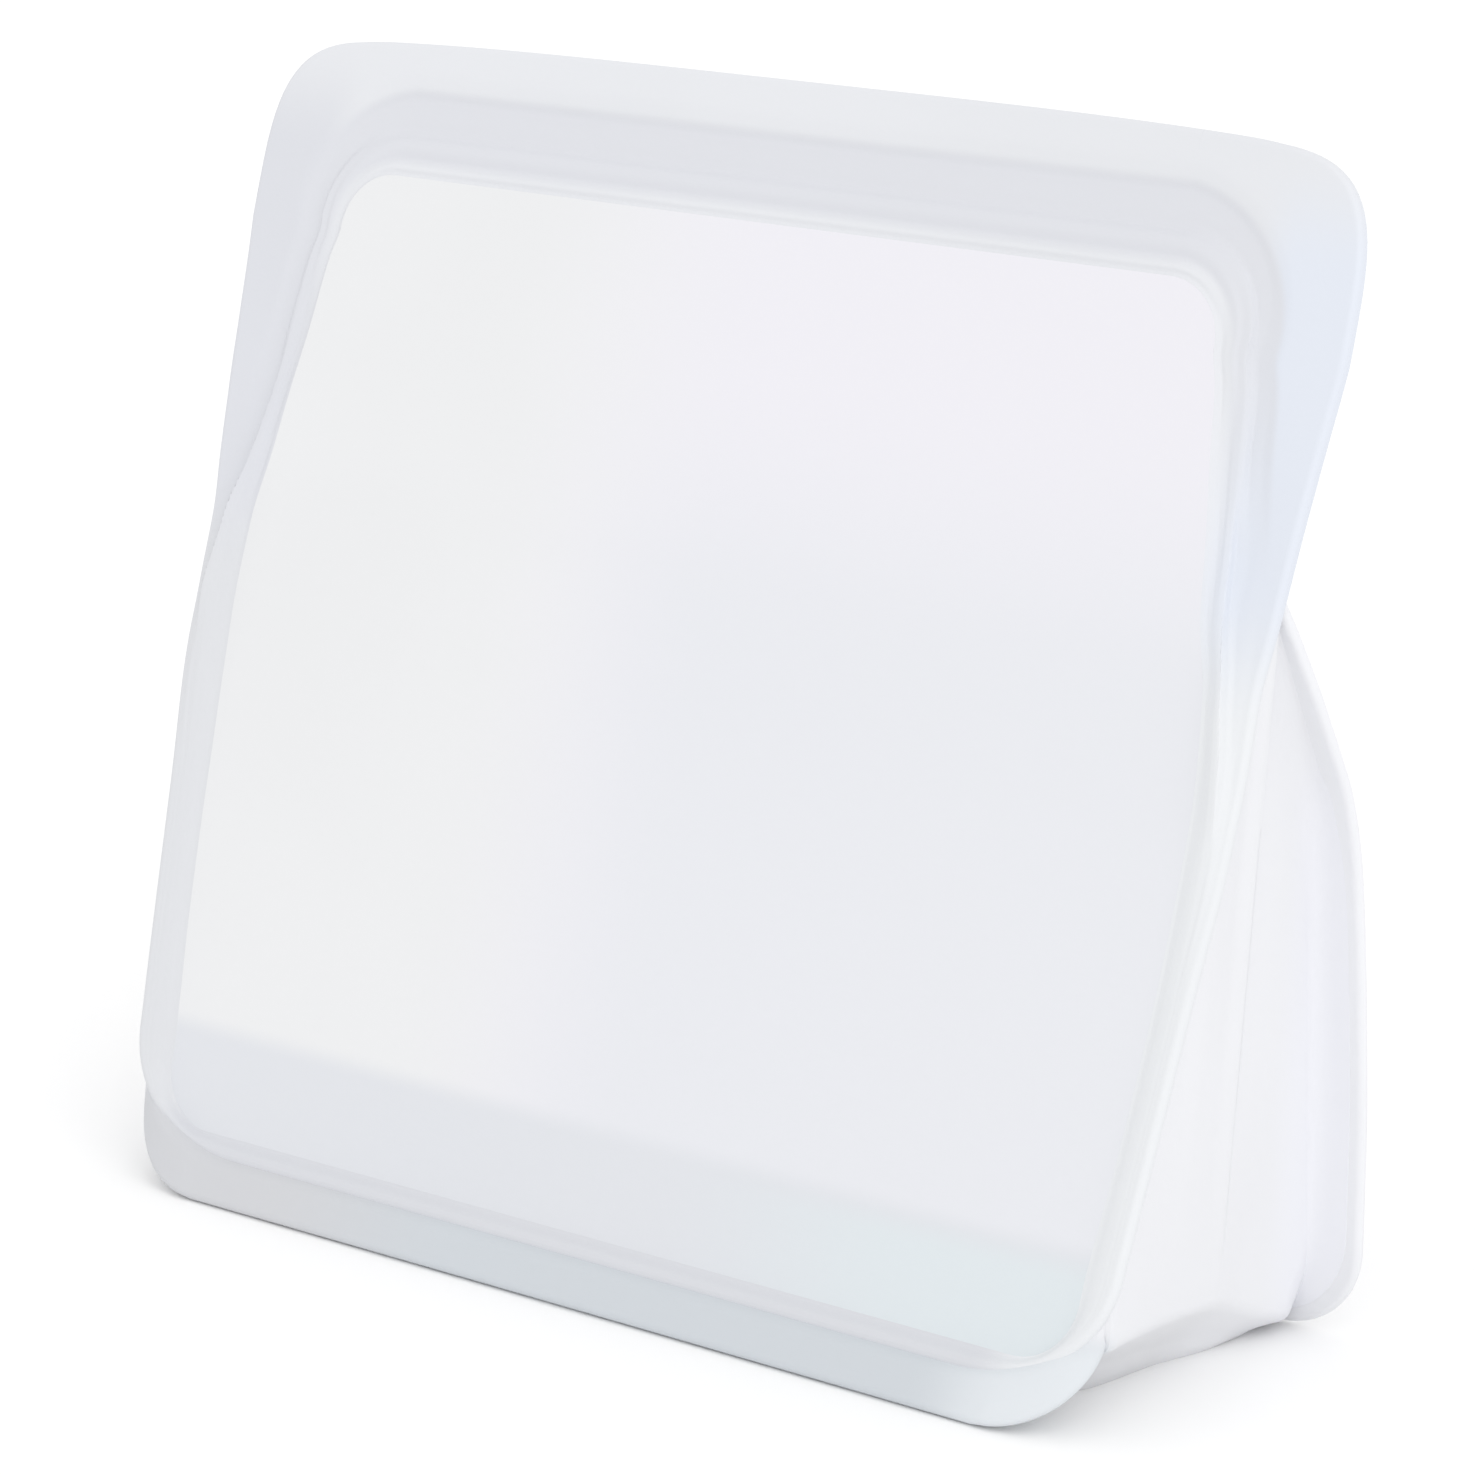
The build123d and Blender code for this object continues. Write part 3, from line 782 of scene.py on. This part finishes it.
def front_stations():
    """Stations along the border, from the front middle past the bottom corner up to the pinch."""
    found = []
    for crease, outer, place in border_stations()[::-1]:
        if outer[1] > SIDE_TOP:
            continue
        way = (outer - crease) / hypot(*(outer - crease))
        depth = curve(RIM_KEYS, outer[1])[0]
        rim_point = on_slope(*(outer - RIM_INSET * way), depth)
        flap = on_slope(*(outer - (RIM_INSET + FLAP_FRONT) * way), depth)
        at_foot = ease(place - 3)
        brow = on_slope(*(outer - BROW_OUT * way), BROW_DEPTH)
        if place >= 4:
            inside = outer[0] / FOOT_PIVOT[0]
            flat = FRONT_FLOOR * [inside, 1, 1]
            knee = np.array([inside * ROLL_CENTRE[0], ROLL_FRONT, ROLL_KNEE])
        elif place >= 3:
            turn = (place - 3) * pi / 2
            slope_x = ROLL_CENTRE[0] + ROLL_REACH[0] * cos(turn)
            slope_height = ROLL_CENTRE[1] - ROLL_REACH[1] * sin(turn)
            knee = on_slope(slope_x, slope_height, ROLL_DEPTH + (ROLL_LOW - ROLL_DEPTH) * sin(turn) ** 1.5)
            flat = flat_at(0) + (FRONT_FLOOR - flat_at(0)) * (place - 3)
        else:
            side = FRONT_SIDE * height_share(outer[1])
            flat, knee = flat_at(side), knee_at(side)
        brow = brow * at_foot + (knee + (rim_point - knee) * BROW_SHARE) * (1 - at_foot)
        rounding = ROUND_SIDE + (ROUND_FRONT - ROUND_SIDE) * at_foot
        found.append((flat, knee, brow, rim_point, flap, rounding))
    return found


def rear_stations():
    """Stations along the leg, from the pinch down past its bottom corner to the rear middle."""
    found = []
    for down in np.linspace(0, 1, DOWN_STATIONS)[1:]:
        z = REAR_TOP + (REAR_LOW - REAR_TOP) * down
        side = FRONT_SIDE + (REAR_SIDE - FRONT_SIDE) * down
        flap_x = leg_half(np.array([z]))[0] - FLAP_INSET
        weld = weld_flap(curve(WELD_KEYS, z)[0], z, flap_x, z)
        found.append(plain_strip(flat_at(side), knee_at(side), *weld))
    for down in np.linspace(0, 1, TURN_STATIONS)[1:]:
        turn = down * pi / 2
        x = REAR_HALF - REAR_CORNER * (1 - cos(turn))
        z = REAR_LOW - (REAR_LOW - REAR_FOOT) * sin(turn)
        flap_x = FLAP_HALF + (TOP_HALF - FLAP_INSET - FLAP_HALF) * cos(turn)
        flap_z = REAR_LOW - (REAR_LOW - FLAP_FOOT) * sin(turn)
        side = REAR_SIDE + (1 - REAR_SIDE) * down
        found.append(plain_strip(flat_at(side), knee_at(side), *weld_flap(x, z, flap_x, flap_z)))
    for x in np.linspace(REAR_HALF - REAR_CORNER, 0, ACROSS_STATIONS)[1:]:
        flat = flat_at(1) * [x / (REAR_HALF - REAR_CORNER), 1, 1]
        knee = np.array([x, REAR_KNEE, 0.0])
        found.append(plain_strip(flat, knee, *weld_flap(x, REAR_FOOT, x, FLAP_FOOT)))
    return found


def gusset_strip(flat, knee, brow, rim_point, flap, rounding):
    """One strip of the gusset, from the middle of the floor out and up to where it is welded."""
    inward = flat * np.linspace(0, 1, STRIP_INWARD)[:-1, None]
    haunch = flat + (knee - flat) * [HAUNCH_OUT, HAUNCH_OUT, HAUNCH_UP]
    corners = [flat, haunch, knee, brow, rim_point, flap]
    rounds = (ROUND_HAUNCH, rounding, ROUND_BROW, WELD_ROUND)
    return np.concatenate([inward, rounded_path(corners, rounds, STRIP_COUNTS)])


GUSSET_ANCHOR = (0, 60.0, 2.0)   # a point on the front half, which gusset() works out but does not use


def gusset(material):
    right = np.array([gusset_strip(*station) for station in front_stations() + rear_stations()])
    left = right[1:-1][::-1] * [-1, 1, 1]
    middle = np.concatenate([right, left])
    middle[..., 2] = np.maximum(middle[..., 2], 0.0) + GUSSET_HALF_WALL
    offset = np.full(middle.shape[:2], GUSSET_HALF_WALL)
    offset[:, -1] = 0.0           # so that the two faces weld along the free edge
    piece = shell("gusset_skin", middle, offset, offset, material, wrap=True)
    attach(piece, "front_shell")
    anchor = tuple(on_slope(*GUSSET_ANCHOR) * MM)
    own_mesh(piece)
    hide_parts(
        "base_gusset", "base_end_left", "base_end_right", "side_gusset_left", "side_gusset_right"
    )


# Materials.

# How many times in a metre each unevenness comes: in colour, gloss, slow ripple and fine grain.
MOTTLE_SCALE, GLOSS_SCALE, RIPPLE_SCALE, GRAIN_SCALE = 14.0, 60.0, 45.0, 900.0
MOTTLE_SHADE = 0.985          # the mottling's darker patches, as a share of the colour
ROUGHNESS_LOW, ROUGHNESS_HIGH = 0.44, 0.56
SILICONE_IOR = 1.41
RIPPLE_STRENGTH, RIPPLE_DEPTH = 0.25, 0.6
GRAIN_STRENGTH, GRAIN_DEPTH = 0.06, 0.2


def silicone(name, colour, layers=(), thick=None):
    """Frosted silicone: its colour, changed by layers, with a fine grain and slow unevenness.

    A layer is a colour and the ramps that multiply to its share; a ramp is an axis and the two
    places along it, in millimetres, between which the share goes from 0 to 1.  thick, if given, is
    the colour of a piece's thick bands.
    """
    material = bpy.data.materials.new(name)
    material.use_nodes = True
    nodes, links = material.node_tree.nodes, material.node_tree.links
    shader = nodes["Principled BSDF"]
    place = nodes.new("ShaderNodeTexCoord")
    axes = nodes.new("ShaderNodeSeparateXYZ")
    links.new(place.outputs["Object"], axes.inputs[0])

    def noise(scale):
        node = nodes.new("ShaderNodeTexNoise")
        node.inputs["Scale"].default_value = scale
        node.inputs["Detail"].default_value = 2.0
        links.new(place.outputs["Object"], node.inputs["Vector"])
        return node.outputs["Fac"]

    def ramp(value, low, high, to_low=0.0, to_high=1.0):
        node = nodes.new("ShaderNodeMapRange")
        node.interpolation_type = "SMOOTHSTEP"
        links.new(value, node.inputs["Value"])
        node.inputs["From Min"].default_value = low
        node.inputs["From Max"].default_value = high
        node.inputs["To Min"].default_value = to_low
        node.inputs["To Max"].default_value = to_high
        return node.outputs["Result"]

    def product(a, b):
        node = nodes.new("ShaderNodeMath")
        node.operation = "MULTIPLY"
        links.new(a, node.inputs[0])
        links.new(b, node.inputs[1])
        return node.outputs[0]

    def mix(share, before, after):
        node = nodes.new("ShaderNodeMix")
        node.data_type = "RGBA"
        links.new(share, node.inputs["Factor"])
        if isinstance(before, tuple):
            node.inputs["A"].default_value = (*before, 1)
        else:
            links.new(before, node.inputs["A"])
        node.inputs["B"].default_value = (*after, 1)
        return node.outputs["Result"]

    def bump(scale, strength, depth):
        node = nodes.new("ShaderNodeBump")
        node.inputs["Strength"].default_value = strength
        node.inputs["Distance"].default_value = depth * MM
        links.new(noise(scale), node.inputs["Height"])
        return node

    mottle = ramp(noise(MOTTLE_SCALE), 0.35, 0.65)
    found = mix(mottle, colour, tuple(MOTTLE_SHADE * part for part in colour))
    for layer, *ramps in layers:
        share = None
        for axis, low, high in ramps:
            step = ramp(axes.outputs[axis], low * MM, high * MM)
            share = step if share is None else product(share, step)
        found = mix(share, found, layer)
    if thick is not None:
        attribute = nodes.new("ShaderNodeAttribute")
        attribute.attribute_name = "thick"
        found = mix(attribute.outputs["Fac"], found, thick)
    links.new(found, shader.inputs["Base Color"])
    gloss = ramp(noise(GLOSS_SCALE), 0.3, 0.7, ROUGHNESS_LOW, ROUGHNESS_HIGH)
    links.new(gloss, shader.inputs["Roughness"])
    shader.inputs["IOR"].default_value = SILICONE_IOR
    grain = bump(GRAIN_SCALE, GRAIN_STRENGTH, GRAIN_DEPTH)
    ripple = bump(RIPPLE_SCALE, RIPPLE_STRENGTH, RIPPLE_DEPTH)
    links.new(grain.outputs["Normal"], ripple.inputs["Normal"])
    links.new(ripple.outputs["Normal"], shader.inputs["Normal"])
    return material


# Surroundings.

# The photo's camera: where it stands about the bag, and the point that it looks at.
AZIMUTH, ELEVATION = radians(37.54), radians(15.25)
DISTANCE = 773.5
AIM = (9.79, -2.23, 81.74)
SENSOR = 36.0
LENS = 129.36


def camera():
    data = bpy.data.cameras.new("camera")
    data.sensor_width, data.lens = SENSOR, LENS
    view = bpy.data.objects.new("camera", data)
    bpy.context.scene.collection.objects.link(view)
    back = Vector((sin(AZIMUTH) * cos(ELEVATION), -cos(AZIMUTH) * cos(ELEVATION), sin(ELEVATION)))
    view.location = (Vector(AIM) + back * DISTANCE) * MM
    view.rotation_euler = (-back).to_track_quat("-Z", "Y").to_euler()
    bpy.context.scene.camera = view


FLOOR_HALF = 6000.0
FLOOR_SHADE = 0.96


def floor():
    material = bpy.data.materials.new("floor")
    material.use_nodes = True
    shader = material.node_tree.nodes["Principled BSDF"]
    shader.inputs["Base Color"].default_value = (FLOOR_SHADE, FLOOR_SHADE, FLOOR_SHADE, 1)
    shader.inputs["Roughness"].default_value = 1.0
    shader.inputs["Specular IOR Level"].default_value = 0.0
    points = [(i * FLOOR_HALF, j * FLOOR_HALF, 0) for i, j in ((-1, -1), (1, -1), (1, 1), (-1, 1))]
    piece = make_piece("floor", points, [(0, 1, 2, 3)], material)


KEY_FROM = (0.66, -0.45, 0.60)   # the direction that the soft main light comes from
KEY_STRENGTH, KEY_SOFTNESS = 0.6, radians(60)


def light():
    """White surroundings and one large soft light."""
    world = bpy.data.worlds.new("studio")
    bpy.context.scene.world = world
    world.use_nodes = True
    background = world.node_tree.nodes["Background"]
    background.inputs["Color"].default_value = (1, 1, 1, 1)
    background.inputs["Strength"].default_value = 1.0
    data = bpy.data.lights.new("key", "SUN")
    data.energy, data.angle = KEY_STRENGTH, KEY_SOFTNESS
    lamp = bpy.data.objects.new("key", data)
    bpy.context.scene.collection.objects.link(lamp)
    lamp.rotation_euler = (-Vector(KEY_FROM)).to_track_quat("-Z", "Y").to_euler()
    bpy.context.scene.view_settings.view_transform = "Standard"


# Looks, as base colours.  The silicone is a clear grey-white where one sheet is seen against light,
# and greyer or bluer where it is doubled or where the floor of the bag shows through.  Other colours
# are painted light and shade: the border painted darker on the left and lighter on the right, as the
# main light falls from the right, the gusset's rear flap painted lighter, and its underside and roll
# painted darker, as shade.
CLEAR = (0.764, 0.769, 0.778)             # front panel, its left
CENTRE = (0.729, 0.738, 0.772)            # its middle and lower right
LAVENDER = (0.772, 0.762, 0.806)          # its upper right
BASE_BAND = (0.682, 0.696, 0.729)         # its foot, in front of the bag's floor
BASE_BAND_RIGHT = (0.674, 0.722, 0.746)
RIM = (0.721, 0.731, 0.759)               # lips and border
SEAL = (0.663, 0.672, 0.71)               # the thick band of the press seal
LEFT_FLANGE_PAINTED_SHADE = (0.65, 0.66, 0.7)           # the border outside the shoulders, above the pinch, on the left: painted shade
# the same border on the right: painted light, as the main light falls from the right
RIGHT_FLANGE_PAINTED_LIGHT = (0.692, 0.725, 0.795)
LOWER_LEFT_PAINTED_SHADE = (0.658, 0.667, 0.691)        # the border below the pinch, on the left: painted shade
# the same border on the right: painted light
LOWER_RIGHT_PAINTED_LIGHT = (0.752, 0.766, 0.785)
BASE_EDGE = (0.625, 0.635, 0.668)         # its bottom edge
SIDE = (0.775, 0.78, 0.805)               # gusset sides
FLAP_PAINTED_LIGHT = (0.79, 0.795, 0.835)               # their rear part, beside the leg's flange: painted light that lifts the shade of the fold there
UNDER_PAINTED_SHADE = (0.74, 0.745, 0.765)              # their underside: painted shade under the arch
ROLL_PAINTED_SHADE = (0.565, 0.597, 0.63)               # the roll under the front's bottom edge: painted shade, as it faces down to the floor
# the roll's left, painted shade, and its right corner, painted light
ROLL_LEFT_PAINTED_SHADE = (0.58, 0.587, 0.61)
ROLL_RIGHT_PAINTED_LIGHT = (0.69, 0.72, 0.75)
LEG = (0.8, 0.805, 0.83)                  # back leg
# where the roll's painted shade goes
ROLL_PAINTED_SHADE_PLACE = (("Y", -22, -26), ("Z", 16, 11))

panel_look = silicone(
    "wall_silicone_look", CLEAR,
    (
        (LAVENDER, ("X", -45, 5)),
        (CENTRE, ("Z", 135, 95), ("X", -35, 5)),
        (BASE_BAND, ("Z", 26.5, 22.5)),
        (BASE_BAND_RIGHT, ("Z", 25, 20), ("X", 10, 60)),
    ),
)
border_look = silicone(
    "border_silicone_look", RIM,
    (
        # painted shade on the border's left, painted light on its right
        (LEFT_FLANGE_PAINTED_SHADE, ("X", -80, -88), ("Z", 172, 156)),
        (RIGHT_FLANGE_PAINTED_LIGHT, ("X", 82, 90), ("Z", 172, 156)),
        # below the pinch, painted shade on the left, painted light on the right
        (LOWER_LEFT_PAINTED_SHADE, ("X", 0, -40), ("Z", 108, 92)),
        (LOWER_RIGHT_PAINTED_LIGHT, ("X", 0, 60), ("Z", 116, 96)),
        (BASE_EDGE, ("Z", 13, 9), ("X", 80, 70)),
    ),
    thick=SEAL,
)
lip_look = silicone("seal_silicone_look", RIM, thick=SEAL)
back_look = silicone("back_silicone_look", RIM, ((SEAL, ("Z", 152, 156), ("Z", 168, 165)),))
gusset_look = silicone(
    "gusset_silicone_look", SIDE,
    (
        # painted light on the rear flap
        (FLAP_PAINTED_LIGHT, ("Y", 14, 23)),
        # painted shade on the underside
        (UNDER_PAINTED_SHADE, ("Z", 12.6, 10.6), ("Y", 8, -2)),
        # painted shade on the roll, painted lighter at its right corner
        (ROLL_PAINTED_SHADE, *ROLL_PAINTED_SHADE_PLACE),
        (ROLL_LEFT_PAINTED_SHADE, *ROLL_PAINTED_SHADE_PLACE, ("X", -20, -60)),
        (ROLL_RIGHT_PAINTED_LIGHT, *ROLL_PAINTED_SHADE_PLACE, ("X", 62, 78)),
    ),
)
leg_look = silicone("leg_silicone_look", LEG, ((SIDE, ("Z", 18, 8)),))

front_panel(panel_look)
border(border_look)
front_lips(lip_look)
back_walls(back_look)
back_leg(leg_look)
gusset(gusset_look)
camera()
floor()
light()
